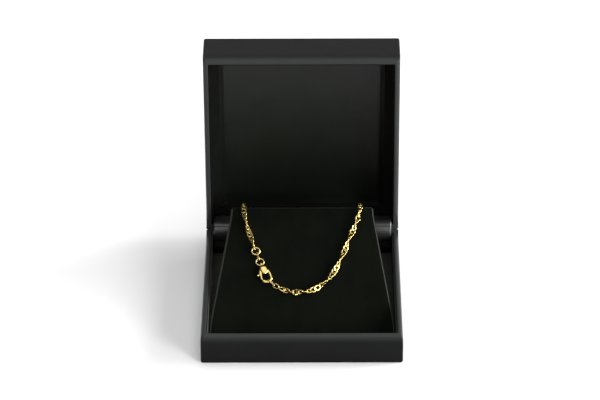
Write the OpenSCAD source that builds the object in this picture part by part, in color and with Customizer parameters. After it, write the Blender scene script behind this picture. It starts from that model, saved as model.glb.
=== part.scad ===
// A gold singapore chain necklace on a velvet pad, in an open square presentation box.
// The origin is the centre of the box's underside, with the front of the box towards -Y.

/* [Box] */
// Width of the box, side to side
box_w = 90; // [86:0.5:100]
// Depth of the box, front to back
box_d = 90; // [86:0.5:100]
// Height of the base tray
base_h = 14.5; // [14:0.1:16]
// Height of the lid
lid_h = 21.6; // [21:0.1:26]
// Thickness of the side walls of the base and the lid
wall = 2.5; // [2:0.1:3]
// Thickness of the base's floor
floor_t = 2.5; // [1.5:0.1:3]
// Thickness of the lid's top panel
panel_t = 1.8; // [1.2:0.1:2.2]
// Radius of the box's upright corners
corner_r = 1; // [0.4:0.1:2]
// Gap between the rims of the base and the lid
rim_gap = 0.1; // [0.05:0.05:0.3]

/* [Lining] */
// Thickness of the lining card
lining_t = 0.5; // [0.4:0.1:0.8]
// How far the lining stops short of the rim
lining_drop = 0.8; // [0.4:0.1:2]
// Width of the padded slopes at the sides of the lid's lining
cove = 6; // [3:0.5:8]

/* [Hinge] */
// Angle that the lid stands open at
lid_open = 90; // [0:1:90]
// Outer radius of the base's hinge leaf
leaf_r = 5.5; // [5.2:0.1:5.6]
// Thickness of the hinge leaves
leaf_t = 0.4; // [0.3:0.05:0.5]
// Gap between the two leaves
leaf_gap = 0.25; // [0.15:0.05:0.3]
// Gap between the ends of the leaves and the lining beside them
leaf_end_gap = 0.4; // [0.2:0.1:1]
// Length of the flat flange of each leaf
flange = 4; // [2:0.5:5]

/* [Pad] */
// Thickness of the velvet covered board
pad_t = 2; // [1.5:0.1:2.2]
// Height of the pad's fold above the table
pad_crest = 31.1; // [28:0.1:31.4]
// Distance from the box's back to the middle of the fold
fold_back = 8.3; // [8.1:0.1:12]
// Width of the pad halfway up
pad_mid_w = 76; // [60:0.5:80]
// Width of the pad at the fold
pad_top_w = 66; // [60:0.5:76]
// Depth of the lip behind the fold
pad_lip = 4; // [3:0.5:5]
// Width of the flap that holds the pad up
flap_w = 42; // [20:1:44]
// How far the flap's foot stands forward
flap_lean = 2.2; // [0:0.1:4]
// Gap between the pad's edges and the lining
pad_gap = 0.3; // [0.2:0.1:1]

/* [Chain] */
// Distance from one chain link to the next
pitch = 2.1; // [2:0.05:2.6]
// Thickness of the links' wire
chain_wire = 0.34; // [0.3:0.02:0.36]
// Play between neighbouring links
link_play = 0.24; // [0.22:0.02:0.3]
// Least turn from one link to the next, in degrees
twist = 42; // [40:1:60]

/* [Clasp] */
// Outer diameter of the jump ring
jump_d = 4.4; // [4.2:0.1:5]
// Thickness of the jump ring's wire
jump_wire = 0.8; // [0.6:0.05:0.85]
// Outer diameter of the clasp's ring
clasp_ring_d = 4.2; // [4:0.1:4.6]
// Thickness of the wire of the clasp's ring
clasp_ring_wire = 0.65; // [0.5:0.05:0.7]
// Thickness of the clasp's head
head_t = 2.2; // [2:0.1:2.6]
// Thickness of the clasp's hook
hook_d = 1.15; // [0.9:0.05:1.2]
// Radius of the round opening inside the hook
hook_in_r = 1.6; // [1.5:0.05:1.8]
// Thickness of the clasp's lever
lever_t = 1; // [0.8:0.05:1.1]
// Diameter of the lever's pin
lever_pin_d = 0.6; // [0.4:0.05:0.7]
// Thickness of the wire of the three small links
link_wire = 0.55; // [0.5:0.05:0.6]

/* [Hidden] */

$fn = 64;
piece_gap = 0.12; // between pieces that are glued or that rest on each other
ring_gap = 0.12; // between the small rings that hang in each other
pin_gap = 0.08; // round the lever's pin
slot_gap = 0.12; // between the lever and the head's ears

box_colour = "#26262a";
lining_colour = "#101012";
satin_colour = "#3a3a3e";
velvet_colour = "#0c0c0e";
gold_colour = "#dba63c";

// The inside of the box
inner_w = box_w - 2 * wall;
inner_d = box_d - 2 * wall;
lined = piece_gap + lining_t; // from a wall to the face of its lining
floor_face = floor_t + lined;
lined_w = inner_w - 2 * lined;
back_y = box_d / 2;

// The pad: its board slopes from the front of the tray to a round fold near the hinge
seat_z = floor_face + piece_gap;
fold_y = back_y - fold_back;
fold_z = pad_crest - pad_t;
pad_front_y = -box_d / 2 + wall + lined + pad_gap;
slope = atan2(fold_z - seat_z, fold_y - pad_front_y);
pad_len = (fold_y - pad_front_y) / cos(slope);
pad_front_w = lined_w - 2 * pad_gap;

// A point on the pad: u to the right, down from the fold, h above the velvet
function pad_point(u, down, h) = [
    u,
    fold_y - (pad_t + h) * sin(slope) - down * cos(slope),
    fold_z + (pad_t + h) * cos(slope) - down * sin(slope)
];

// The clasp's own frame on the pad: its middle lies in the hook's opening, +Y points at its ring
clasp_u = -16.4;
clasp_down = 41.4;
clasp_h = 1.5;
clasp_turn = 10.8;
hook_centre = [0.15, -1.1];
hook_r = hook_in_r + hook_d / 2;
hook_end = 213; // where the nose ends, as an angle round hook_centre
head_centre = [0.05, 4.6];
head_r = 1.9;
eye = [-0.75, 7];
eye_r = 1.1;
eye_hole_r = 0.75;
eye_w = 1.2;
eye_sag = 0.1; // how far the ring's wire hangs below the eye's middle
pivot = [-1.2, 4.1];
boss_r = 1;
lever_tip = [-2, -1.25];
lever_tip_r = 0.5;
tab_root = [-1.8, 1.8];
tab_tip = [-3.45, 1.2];
tab_r = 0.45;

// A point of the clasp's frame, as [u, down] on the pad
function clasp_point(p) = [
    clasp_u + p.x * cos(clasp_turn) - p.y * sin(clasp_turn),
    clasp_down - p.x * sin(clasp_turn) - p.y * cos(clasp_turn)
];

// The rings lean back a little, with their far edge raised
ring_lean = 8;
clasp_ring_r = (clasp_ring_d - clasp_ring_wire) / 2;
clasp_ring_heading = 13.8; // from the eye, anticlockwise from the clasp's +Y
clasp_ring_at = clasp_point(eye + (clasp_ring_r - eye_sag) * [-sin(clasp_ring_heading), cos(clasp_ring_heading)]);
clasp_ring_h = clasp_h + clasp_ring_r * sin(ring_lean);
jump_r = (jump_d - jump_wire) / 2;
jump_at = [-21.1, 26.8];
jump_h = 1.85;

// The hook link runs from inside the hook towards the chain
hook_link_heading = -48.6;
hook_link_len = 5;
hook_link_w = 1.7 + 2 * link_wire;
hook_link_inset = hook_d / 2 + link_wire / 2 + ring_gap;
end_link_heading = -38;
end_link_len = 3.3;
end_link_w = 2.4;

// The chain's route: few chosen points on the pad, as [u, down, h], from the jump ring up to the
// fold and from the fold down to the end link
left_strand = [
    [-21.5, 25.6, 1.95], [-22.8, 20.8, 1.75], [-24.1, 16, 1.65], [-25.3, 11, 1.6], [-26.4, 6, 1.6]
];
right_strand = [
    [26.2, 5.6, 1.6], [24.8, 10.2, 1.6], [23.2, 14.8, 1.6], [21.6, 19.4, 1.6],
    [19.8, 25.2, 1.6], [18.1, 30.4, 1.6], [15.9, 35.9, 1.6], [13.6, 40.6, 1.6], [11.2, 44.2, 1.6],
    [7.7, 47.7, 1.6], [3.8, 49.8, 1.6], [0.5, 50.5, 1.6], [-2.6, 50.7, 1.6], [-5.6, 50.3, 1.6],
    [-8.2, 49.2, 1.6], [-9.75, 48.15, 1.6]
];
left_x = -27;
right_x = 26.8;

// Chain that lies flat over the fold, and the heights that it needs
ring_r = (pitch + chain_wire + link_play) / 2;
flat_roll = 25; // of the links that lie flat over the fold, to either side
flat_half = ring_r * sin(flat_roll) + chain_wire / 2;
chain_half = ring_r + chain_wire / 2;
over_r = pad_t + piece_gap + flat_half; // from the fold's middle, where the chain bears on it
bend_r = 5; // the tightest bend that the links make
flat_links = 4; // links each side of the fold that lie flat
run_z = floor_face + piece_gap + chain_half;
side_x = pad_front_w / 2 - 1 - chain_half; // below the pad's edges, out of sight
front_run_y = -box_d / 2 + 13.5;
turn = 9; // radius of the run's corners
drop_lean = 14; // how far the drop behind the fold leans forward, in degrees
sway = 38; // length over which the chain moves out to the pad's edge

// A smooth curve through points on the pad
curve_steps = 8;
function blend(a, b, c, d, t) = 0.5 * (
    2 * b + (c - a) * t + (2 * a - 5 * b + 4 * c - d) * t * t + (3 * b - a - 3 * c + d) * t * t * t
);
function smooth(p) =
    let (n = len(p), q = concat([2 * p[0] - p[1]], p, [2 * p[n - 1] - p[n - 2]]))
        [for (i = [0:n - 2], k = [0:curve_steps - 1]) blend(q[i], q[i + 1], q[i + 2], q[i + 3], k / curve_steps)];

// Over the fold in one bend, which bears on the fold halfway round
bend_shift = bend_r - over_r;
bend_y = fold_y - bend_shift * cos((90 + slope) / 2);
bend_z = fold_z - bend_shift * sin((90 + slope) / 2);
function over_fold(x, from, to) = [
    for (k = [0:curve_steps])
        let (a = from + (to - from) * k / curve_steps) [x, bend_y + bend_r * cos(a), bend_z + bend_r * sin(a)]
];

// Down behind the fold, then forward along the tray's floor, out to the pad's edge and round the front
foot_z = run_z + turn * (1 - sin(drop_lean));
foot_y = bend_y + bend_r * cos(drop_lean) - (bend_z - bend_r * sin(drop_lean) - foot_z) * tan(drop_lean);
run_y = foot_y - turn * cos(drop_lean);
function foot(x) = [
    for (k = [0:curve_steps])
        let (a = drop_lean + (90 - drop_lean) * k / curve_steps) [x, run_y + turn * cos(a), run_z + turn - turn * sin(a)]
];
function move_out(x, side) = [
    for (k = [1:curve_steps])
        let (t = k / curve_steps) [x + (side_x * side - x) * (1 - cos(180 * t)) / 2, run_y - sway * t, run_z]
];
function front_corner(side) = [
    for (k = [0:curve_steps])
        let (a = 90 * k / curve_steps) [side * (side_x - turn + turn * cos(a)), front_run_y + turn - turn * sin(a), run_z]
];
function backwards(list) = [for (i = [len(list) - 1:-1:0]) list[i]];
function on_velvet(list) = [for (p = list) pad_point(p.x, p.y, p.z)];

function hidden(x, side) = concat(over_fold(x, (90 + slope) / 2, -drop_lean), foot(x), move_out(x, side), front_corner(side));

// The whole route as a dense list of points, and where along it the chain crosses the fold
fold_start = [bend_shift * sin((90 + slope) / 2), bend_r - pad_t - bend_shift * cos((90 + slope) / 2)];
left_curve = smooth(on_velvet(concat(left_strand, [[left_x, fold_start.x, fold_start.y]])));
left_bend = over_fold(left_x, 90 + slope, (90 + slope) / 2);
right_curve = smooth(on_velvet(concat([[right_x, fold_start.x, fold_start.y]], right_strand)));
right_bend = backwards(over_fold(right_x, 90 + slope, (90 + slope) / 2));
hidden_left = hidden(left_x, -1);
hidden_right = backwards(hidden(right_x, 1));
curve = concat(left_curve, left_bend, hidden_left, hidden_right, right_bend, right_curve, [on_velvet(right_strand)[len(right_strand) - 1]]);
left_fold_point = len(left_curve) + len(left_bend);
right_fold_point = left_fold_point + len(hidden_left) + len(hidden_right);
distance = [
    for (i = 0, s = 0; i < len(curve); s = s + (i + 1 < len(curve) ? norm(curve[i + 1] - curve[i]) : 0), i = i + 1) s
];
table = [for (axis = [0:2]) [for (i = [0:len(curve) - 1]) [distance[i], curve[i][axis]]]];
function curve_point(s) = [for (axis = [0:2]) lookup(s, table[axis])];

// The links: equal steps along the curve, each with its direction and a side vector carried along
chain_len = distance[len(curve) - 1];
links = round(chain_len / pitch);
step = chain_len / links;
joints = [for (i = [0:links]) curve_point(i * step)];
function unit(v) = v / norm(v);
function heading(i) = unit(joints[i + 1] - joints[i]);
function square_to(v, along) = unit(v - (v * along) * along);
pad_normal = [0, -sin(slope), cos(slope)];
normals = [
    for (i = 0, n = square_to(pad_normal, heading(0)); i < links; i = i + 1, n = i < links ? square_to(n, heading(i)) : n) n
];

// The roll of each link: a steady twist, with a flat stretch over the fold on each side. Each
// stretch makes whole half turns, so the twist is a little more than its least value.
function link_near(point) = round(distance[point] / step - 0.5);
left_top = link_near(left_fold_point);
right_top = link_near(right_fold_point);
end_roll = 90; // the end links stand upright, to take the rings
function flat(i) = (i % 2 == 0 ? 1 : -1) * flat_roll;
function fitted(from, to, count) = (180 * ceil((twist * count - to + from) / 180) + to - from) / count;
a0 = left_top - flat_links;
a1 = left_top + flat_links;
b0 = right_top - flat_links;
b1 = right_top + flat_links;
left_twist = fitted(end_roll, flat(a0), a0);
hidden_twist = fitted(flat(a1), flat(b0), b0 - a1);
right_twist = fitted(flat(b1), end_roll, links - 1 - b1);
function roll(i) =
    i < a0 ? end_roll + left_twist * i
    : i <= a1 ? flat(i)
    : i < b0 ? flat(a1) + hidden_twist * (i - a1)
    : i <= b1 ? flat(i)
    : flat(b1) + right_twist * (i - b1);
half_way = round(links / 2);

// Shapes that repeat

// A sheet with round corners, standing on the table
module rounded_sheet(w, d, r) {
    square([w - 2 * r, d], center = true);
    square([w, d - 2 * r], center = true);
    for (x = [-1, 1], y = [-1, 1]) translate([x * (w / 2 - r), y * (d / 2 - r)]) circle(r);
}

// The part of a disc between two angles less than 180 degrees apart
module wedge(r, from, to) {
    middle = (from + to) / 2;
    reach = 3 * r;
    intersection() {
        circle(r);
        polygon([[0, 0], reach * [cos(from), sin(from)], reach * [cos(middle), sin(middle)], reach * [cos(to), sin(to)]]);
    }
}

// A flat outline in the Y-Z plane, drawn out along X
module along_x(length) {
    translate([-length / 2, 0, 0]) rotate([90, 0, 90]) linear_extrude(length) children();
}

// A round wire ring in the X-Y plane
module wire_ring(r, wire) {
    rotate_extrude() translate([r, 0]) circle(d = wire);
}

// A long link in the X-Y plane, its length along X, measured outside its wire
module long_link(length, width, wire) {
    r = (width - wire) / 2;
    half = length / 2 - wire / 2 - r;
    for (side = [0, 180]) rotate([0, 0, side]) {
        translate([half, 0, 0]) rotate([0, 0, -90]) rotate_extrude(angle = 180) translate([r, 0]) circle(d = wire);
        translate([-half, r, 0]) rotate([0, 90, 0]) cylinder(d = wire, h = 2 * half);
    }
}

// A round rod from one point to another
module rod(from, to, d) {
    v = to - from;
    translate(from) rotate([0, acos(v.z / norm(v)), atan2(v.y, v.x)]) cylinder(d = d, h = norm(v));
}

// Places its children on the pad: X to the right, Y up the slope, Z out of the velvet
module on_pad(at, h) {
    translate(pad_point(at.x, at.y, h)) rotate([slope, 0, 0]) children();
}

// Places what is drawn for a closed lid, measured from the hinge's axis
module at_lid() {
    translate([0, back_y, base_h]) rotate([-lid_open, 0, 0]) children();
}

// The box

module base_shell() {
    color(box_colour) difference() {
        linear_extrude(base_h) rounded_sheet(box_w, box_d, corner_r);
        translate([-inner_w / 2, -inner_d / 2, floor_t]) cube([inner_w, inner_d, base_h]);
    }
}

// Floor and three walls of card: the hinge leaf covers the fourth
module base_lining() {
    w = inner_w - 2 * piece_gap;
    d = inner_d - 2 * piece_gap;
    color(lining_colour) difference() {
        translate([-w / 2, -d / 2, floor_t + piece_gap]) cube([w, d, base_h - floor_t - piece_gap - lining_drop]);
        translate([-lined_w / 2, -d / 2 + lining_t, floor_face]) cube([lined_w, d, base_h]);
    }
}

module lid_shell() {
    color(box_colour) at_lid() translate([0, -box_d / 2, 0]) difference() {
        translate([0, 0, rim_gap]) linear_extrude(lid_h - rim_gap) rounded_sheet(box_w, box_d, corner_r);
        translate([-inner_w / 2, -inner_d / 2, -1]) cube([inner_w, inner_d, lid_h - panel_t + 1]);
    }
}

// Card on the walls and the panel, with a padded slope along each side
module lid_lining() {
    w = inner_w - 2 * piece_gap;
    d = inner_d - 2 * piece_gap;
    top = lid_h - panel_t - piece_gap;
    under = top - lining_t;
    half = lined_w / 2;
    color(lining_colour) at_lid() difference() {
        translate([-w / 2, -wall - piece_gap - d, lining_drop]) cube([w, d, top - lining_drop]);
        translate([0, -wall - lined, 0]) rotate([90, 0, 0]) linear_extrude(inner_d - 2 * lined) polygon([
            [-half, -1], [half, -1], [half, under - cove], [half - cove, under], [cove - half, under], [-half, under - cove]
        ]);
        translate([-w / 2 - 1, -wall - lined - 1, -1]) cube([w + 2, lined + 2, leaf_r + flange + 1]);
    }
}

// The hinge: two curved leaves nested about the hinge's axis, each with a flat flange on its wall
leaf_len = lined_w - 2 * leaf_end_gap;
leaf_free_angle = 131; // where the base's leaf ends above the tray
lid_leaf_end = 232; // where the lid's leaf ends in the tray when the lid is closed

module leaf(r, from, to) {
    difference() {
        wedge(r, from, to);
        circle(r - leaf_t);
    }
}

module base_hinge_leaf() {
    flange_y = -wall - piece_gap - leaf_t;
    middle_r = leaf_r - leaf_t / 2;
    meets = 360 - acos((flange_y + leaf_t / 2) / middle_r);
    color(satin_colour) translate([0, back_y, base_h]) along_x(leaf_len) {
        leaf(leaf_r, leaf_free_angle, meets + 1);
        translate([flange_y, middle_r * sin(meets) - flange]) square([leaf_t, flange + 0.2]);
    }
}

module lid_hinge_leaf() {
    r = leaf_r - leaf_t - leaf_gap;
    flange_y = -wall - piece_gap - leaf_t;
    middle_r = r - leaf_t / 2;
    meets = acos((flange_y + leaf_t / 2) / middle_r);
    color(satin_colour) at_lid() along_x(leaf_len) {
        leaf(r, meets - 1, lid_leaf_end);
        translate([flange_y, middle_r * sin(meets) - 0.2]) square([leaf_t, flange + 0.2]);
    }
}

// The pad: a folded board, hollow below, with a lip and a flap behind the fold
pad_outline = [ // how far up the board, and half the width there
    [0, pad_front_w / 2],
    [0.17, pad_front_w / 2],
    [0.5, pad_mid_w / 2],
    [0.97, pad_top_w / 2]
];

module pad_board() {
    n = [-sin(slope), cos(slope)];
    fold = [fold_y, fold_z];
    polygon([[pad_front_y, seat_z], fold, fold + pad_t * n, [pad_front_y, seat_z + pad_t / cos(slope)]]);
    translate(fold) wedge(pad_t, 0, 95 + slope); // reaches a little into the board
    translate([fold_y, fold_z - pad_lip]) square([pad_t, pad_lip]);
}

module display_pad() {
    right = [for (row = pad_outline) [row[1], row[0] * pad_len]];
    left = [for (row = backwards(pad_outline)) [-row[1], row[0] * pad_len]];
    beyond = pad_len + pad_lip + 2 * pad_t;
    deep = 4 * pad_lip;
    color(velvet_colour) {
        intersection() {
            along_x(inner_w) pad_board();
            translate([0, pad_front_y, seat_z]) rotate([slope, 0, 0]) translate([0, 0, -deep]) linear_extrude(2 * deep)
                polygon(concat([[-pad_front_w / 2, -pad_t], [pad_front_w / 2, -pad_t]], right,
                    [[pad_top_w / 2, beyond], [-pad_top_w / 2, beyond]], left));
        }
        along_x(flap_w) polygon([
            [fold_y, fold_z], [fold_y + pad_t, fold_z],
            [fold_y + pad_t - flap_lean, seat_z], [fold_y - flap_lean, seat_z]
        ]);
    }
}

// The chain

module chain_link(i) {
    x = heading(i);
    z = normals[i];
    y = cross(z, x);
    at = curve_point((i + 0.5) * step);
    multmatrix([
        [x.x, y.x, z.x, at.x],
        [x.y, y.y, z.y, at.y],
        [x.z, y.z, z.z, at.z],
        [0, 0, 0, 1]
    ]) rotate([roll(i), 0, 0]) wire_ring(ring_r, chain_wire);
}

module chain_left() {
    color(gold_colour) for (i = [0:half_way - 1]) chain_link(i);
}

module chain_right() {
    color(gold_colour) for (i = [half_way:links - 1]) chain_link(i);
}

// The clasp and its rings

module jump_ring() {
    color(gold_colour) on_pad(jump_at, jump_h) rotate([ring_lean, 0, 0]) wire_ring(jump_r, jump_wire);
}

module connecting_link() {
    between = clasp_ring_at - jump_at;
    way = unit(between);
    // The link runs from inside the jump ring to inside the clasp's ring
    jump_end = jump_at + way * (jump_r - jump_wire / 2 - link_wire / 2 - 2 * ring_gap);
    ring_end = clasp_ring_at - way * (clasp_ring_r - clasp_ring_wire / 2 - link_wire / 2 - 2 * ring_gap);
    rise = (clasp_ring_r - jump_r) * sin(ring_lean) + clasp_ring_h - jump_h + (jump_r + clasp_ring_r) * sin(ring_lean);
    length = round((norm(ring_end - jump_end) + link_wire) * 20) / 20;
    color(gold_colour) on_pad((jump_end + ring_end) / 2, (jump_h + clasp_ring_h) / 2)
        rotate([0, 0, -atan2(between.y, between.x)]) rotate([0, -atan2(rise, norm(between)) / 2, 0]) rotate([90, 0, 0])
            long_link(length, 1.6 + 2 * link_wire, link_wire);
}

module clasp_ring() {
    color(gold_colour) on_pad(clasp_ring_at, clasp_ring_h) rotate([0, 0, clasp_turn + clasp_ring_heading])
        rotate([ring_lean, 0, 0]) wire_ring(clasp_ring_r, clasp_ring_wire);
}

module in_clasp() {
    on_pad([clasp_u, clasp_down], clasp_h) rotate([0, 0, clasp_turn]) children();
}

// A flat bar with round ends of different sizes, its sides set in by a hair from the tangents
module tapered_bar(p, r_p, q, r_q, t) {
    v = q - p;
    tilt = acos((r_p - r_q) / norm(v));
    way = atan2(v.y, v.x);
    function edge(c, r, side) = c + 0.99 * r * [cos(way + side * tilt), sin(way + side * tilt)];
    translate([p.x, p.y, -t / 2]) cylinder(r = r_p, h = t);
    translate([q.x, q.y, -t / 2]) cylinder(r = r_q, h = t);
    translate([0, 0, -t / 2]) linear_extrude(t)
        polygon([edge(p, r_p, 1), edge(q, r_q, 1), edge(q, r_q, -1), edge(p, r_p, -1)]);
}

module clasp_body() {
    arm_top = [1.35, 4, 0];
    arm_foot = [hook_centre.x + hook_r, hook_centre.y, 0];
    color(gold_colour) in_clasp() {
        // Head, slotted for the lever and drilled for the ring
        difference() {
            union() {
                tapered_bar(head_centre, head_r, [eye.x, eye.y - eye_r * 0.6], eye_w / 2, head_t);
                translate([eye.x - eye_w / 2, eye.y, 0]) rotate([0, 90, 0]) cylinder(r = eye_r, h = eye_w);
            }
            translate([eye.x - 3, eye.y, 0]) rotate([0, 90, 0]) cylinder(r = eye_hole_r, h = 6);
            slot = lever_t + 2 * slot_gap;
            translate([pivot.x, pivot.y, -slot / 2]) {
                cylinder(r = boss_r + slot_gap, h = slot);
                translate([-3, -3, 0]) cube([3 + boss_r + slot_gap, 3, slot]);
            }
        }
        // The lever's pin, riveted in both ears
        translate([pivot.x, pivot.y, -head_t / 2 + 0.05]) cylinder(d = lever_pin_d, h = head_t - 0.1);
        // Arm and round hook
        rod(arm_foot, arm_top, hook_d);
        translate(arm_foot) rotate([90, 0, 0]) sphere(d = hook_d * 1.03);
        translate([hook_centre.x, hook_centre.y, 0]) rotate([0, 0, hook_end]) rotate_extrude(angle = 360 - hook_end)
            translate([hook_r, 0]) circle(d = hook_d);
    }
}

module clasp_lever() {
    neck = [pivot.x - 0.35, pivot.y - 0.5];
    color(gold_colour) in_clasp() difference() {
        union() {
            translate([pivot.x, pivot.y, -lever_t / 2]) cylinder(r = boss_r, h = lever_t);
            tapered_bar(neck, boss_r * 0.6, lever_tip, lever_tip_r, lever_t);
            tapered_bar(tab_root, tab_r * 1.1, tab_tip, tab_r, lever_t);
        }
        translate([pivot.x, pivot.y, -lever_t]) cylinder(d = lever_pin_d + 2 * pin_gap, h = 2 * lever_t);
    }
}

hook_wire_at = clasp_point(hook_centre) + hook_r * [cos(hook_link_heading), -sin(hook_link_heading)];
hook_link_from = hook_wire_at - hook_link_inset * [cos(hook_link_heading), -sin(hook_link_heading)];
hook_link_to = hook_link_from + (hook_link_len - link_wire) * [cos(hook_link_heading), -sin(hook_link_heading)];
end_link_way = [cos(end_link_heading), -sin(end_link_heading)];
end_link_from = hook_link_to - (link_wire + ring_gap) * end_link_way;
end_link_to = end_link_from + (end_link_len - link_wire) * end_link_way;

module hook_link() {
    color(gold_colour) on_pad((hook_link_from + hook_link_to) / 2, hook_link_w / 2 + piece_gap)
        rotate([0, 0, hook_link_heading]) rotate([90, 0, 0]) long_link(hook_link_len, hook_link_w, link_wire);
}

module end_link() {
    color(gold_colour) on_pad((end_link_from + end_link_to) / 2, hook_link_w / 2 + piece_gap)
        rotate([0, 0, end_link_heading]) long_link(end_link_len, end_link_w, link_wire);
}

base_shell();
base_lining();
lid_shell();
lid_lining();
base_hinge_leaf();
lid_hinge_leaf();
display_pad();
chain_left();
chain_right();
jump_ring();
connecting_link();
clasp_ring();
clasp_body();
clasp_lever();
hook_link();
end_link();
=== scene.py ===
"""A gold singapore chain necklace on a velvet pad, in an open presentation box: its looks and its studio."""

import math

import bpy
import numpy as np
from mathutils import Matrix, Vector, noise


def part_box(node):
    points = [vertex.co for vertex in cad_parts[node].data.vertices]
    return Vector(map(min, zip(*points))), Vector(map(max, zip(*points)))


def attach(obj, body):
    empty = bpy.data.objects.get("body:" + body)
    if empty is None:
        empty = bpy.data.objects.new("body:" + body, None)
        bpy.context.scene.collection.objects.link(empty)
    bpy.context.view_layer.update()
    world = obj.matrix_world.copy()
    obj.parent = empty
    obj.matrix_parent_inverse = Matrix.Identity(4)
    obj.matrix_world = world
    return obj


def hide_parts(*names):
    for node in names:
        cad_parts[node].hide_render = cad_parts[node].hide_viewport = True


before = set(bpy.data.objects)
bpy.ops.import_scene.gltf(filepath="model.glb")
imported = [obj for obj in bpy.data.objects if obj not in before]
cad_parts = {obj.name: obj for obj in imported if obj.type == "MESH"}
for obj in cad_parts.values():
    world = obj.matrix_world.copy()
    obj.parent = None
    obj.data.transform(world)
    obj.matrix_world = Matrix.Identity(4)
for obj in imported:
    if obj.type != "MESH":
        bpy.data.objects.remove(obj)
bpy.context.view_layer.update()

# Sizes are in millimetres unless a comment says otherwise, and become metres where meshes are made
MM = 0.001


def node_box(node):
    """Lowest and highest corner of a node of the frame, in millimetres."""
    low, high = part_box(node)
    return np.array(low) / MM, np.array(high) / MM


def node_middle(node):
    """The middle of a node's box, in millimetres."""
    low, high = node_box(node)
    return (low + high) / 2


# The box's sizes: its outside comes from the frame
BASE_HIGH = node_box("base_shell")[1]
BOX_HALF = BASE_HIGH[0]
BASE_H = BASE_HIGH[2]
HINGE_Y = BOX_HALF
LID_LOW, LID_HIGH = node_box("lid_shell")
LID_RIM = LID_LOW[1] - HINGE_Y
LID_H = LID_HIGH[1] - HINGE_Y
CORNER_R = 1.0      # the upright corners
CORNER_IN_R = 0.5   # and those inside
WALL = 2.5
FLOOR_T = 2.5
PANEL_T = 1.8
FACE_R = 0.7        # the round edge of the closed face
FACE_CLEAR = 1.5    # the wall's own rings start this far from that face
WELL_R = 0.3        # the round corner inside that face
RIM_IN = 1.45       # how far the rim's round edge comes in
RIM_DEEP = 1.9      # and how far down the wall it starts
RIM_INNER_R = 0.35  # the rim's round edge on the inside
PILLOW_IN = 0.25    # the soft swell of the wall below the rim: how far it leans in
PILLOW_DEEP = 7.0   # and how far down it starts
SQUARE_BACK = 1.5   # this much of the case behind is quite square
SOFTENING = 9.0     # and the softness grows in over this much in front of it
CARD_GAP = 0.12
CARD_T = 0.5
CARD_DROP = 0.8     # how far the cards end below the rims
CARD_CORNER = 0.25
LINED = CARD_GAP + CARD_T
COVE = 6.0          # the lid's padded slope, up and across
COVE_SWELL = 0.35
FLOCKED_ROWS = 20   # rows of faces of the lid's inside, from its rim to halfway over the slope

# The spine, a rod of leatherette behind the joint
SPINE_R = 0.55
SPINE_BEHIND = 0.15  # its middle from the hinge's axis: behind it
SPINE_BELOW = 0.62   # and below it
SPINE_SIDES = 20

# The hinge's leaves
LEAF_R = 5.5
LEAF_T = 0.4
LEAF_GAP = 0.25
LEAF_FLANGE = 4.0
BASE_LEAF_FROM = 131  # where each leaf's curve starts, in degrees about the hinge
LID_LEAF_FROM = 232
# Wrinkles: the share of their depth, their waves along X and over the leaf, and a seed
WRINKLES = [(1.0, 0.22, 0.12, 3.1), (0.6, 0.7, 0.3, 9.7)]

# The pad's sizes
PAD_LOW, PAD_HIGH = node_box("display_pad")
PAD_T = 2.0
FOLD_Y = PAD_HIGH[1] - PAD_T
FOLD_Z = PAD_HIGH[2] - PAD_T
PAD_FRONT = PAD_LOW[1]
PAD_SEAT = PAD_LOW[2]
PAD_HALF = PAD_HIGH[0]
PAD_MID_HALF = 38.0
PAD_TOP_HALF = 33.0
PAD_LIP = 4.0
PAD_ROUND = 0.96      # the slab's edges are nearly half round
END_SHARES = [0.12, 0.45, 0.75, 0.93]  # the thickness of a rounded end's rings, from its tip
END_IN = 0.6          # and how much narrower its tip is
FLAP_HALF = 21.0
FLAP_LEAN = 2.2
# The rolled edges given a painted sheen, wider on the left than on the right: columns of faces round the
# slab, and its first rings
SHEEN_COLUMNS = (3, 4, 36, 37, 38, 39, 40, 41)
SHEEN_RINGS = 64
SLOPE = math.atan2(FOLD_Z - PAD_SEAT, FOLD_Y - PAD_FRONT)
PAD_NORMAL = np.array([0, -math.sin(SLOPE), math.cos(SLOPE)])
PAD_UP = np.array([0, math.cos(SLOPE), math.sin(SLOPE)])


# Mesh making

WIRE_LOOP_SIDES = 20


def make(name, verts, faces, material, body, nodes=(), even=False):
    """A mesh piece from millimetres, in place, riding on its body. even is for pieces with broad flat sides,
    whose shading it keeps flat."""
    mesh = bpy.data.meshes.new(name)
    mesh.from_pydata((np.array(verts, float) * MM).tolist(), [], [list(f) for f in faces])
    mesh.validate()
    mesh.polygons.foreach_set("use_smooth", [True] * len(mesh.polygons))
    piece = bpy.data.objects.new(name, mesh)
    bpy.context.scene.collection.objects.link(piece)
    mesh.materials.append(material)
    if even:
        flat = piece.modifiers.new("even shading", "WEIGHTED_NORMAL")
        flat.keep_sharp = True
    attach(piece, body)
    if nodes:
        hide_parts(*nodes)
    return piece


def loft(rings, closed=False):
    """Vertices and faces of a skin through rings that have the same number of points. Its ends are capped,
    unless it is a closed loop."""
    n = len(rings[0])
    verts = np.concatenate(rings)
    faces = []
    count = len(rings)
    for i in range(count if closed else count - 1):
        a, b = i * n, ((i + 1) % count) * n
        faces += [(a + j, a + (j + 1) % n, b + (j + 1) % n, b + j) for j in range(n)]
    if not closed:
        faces.append(tuple(range(n - 1, -1, -1)))
        faces.append(tuple((count - 1) * n + j for j in range(n)))
    return verts, faces


def join(*parts):
    """Several (vertices, faces) as one."""
    verts, faces, start = [], [], 0
    for v, f in parts:
        verts.append(np.array(v, float))
        faces += [tuple(start + k for k in face) for face in f]
        start += len(v)
    return np.concatenate(verts), faces


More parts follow.
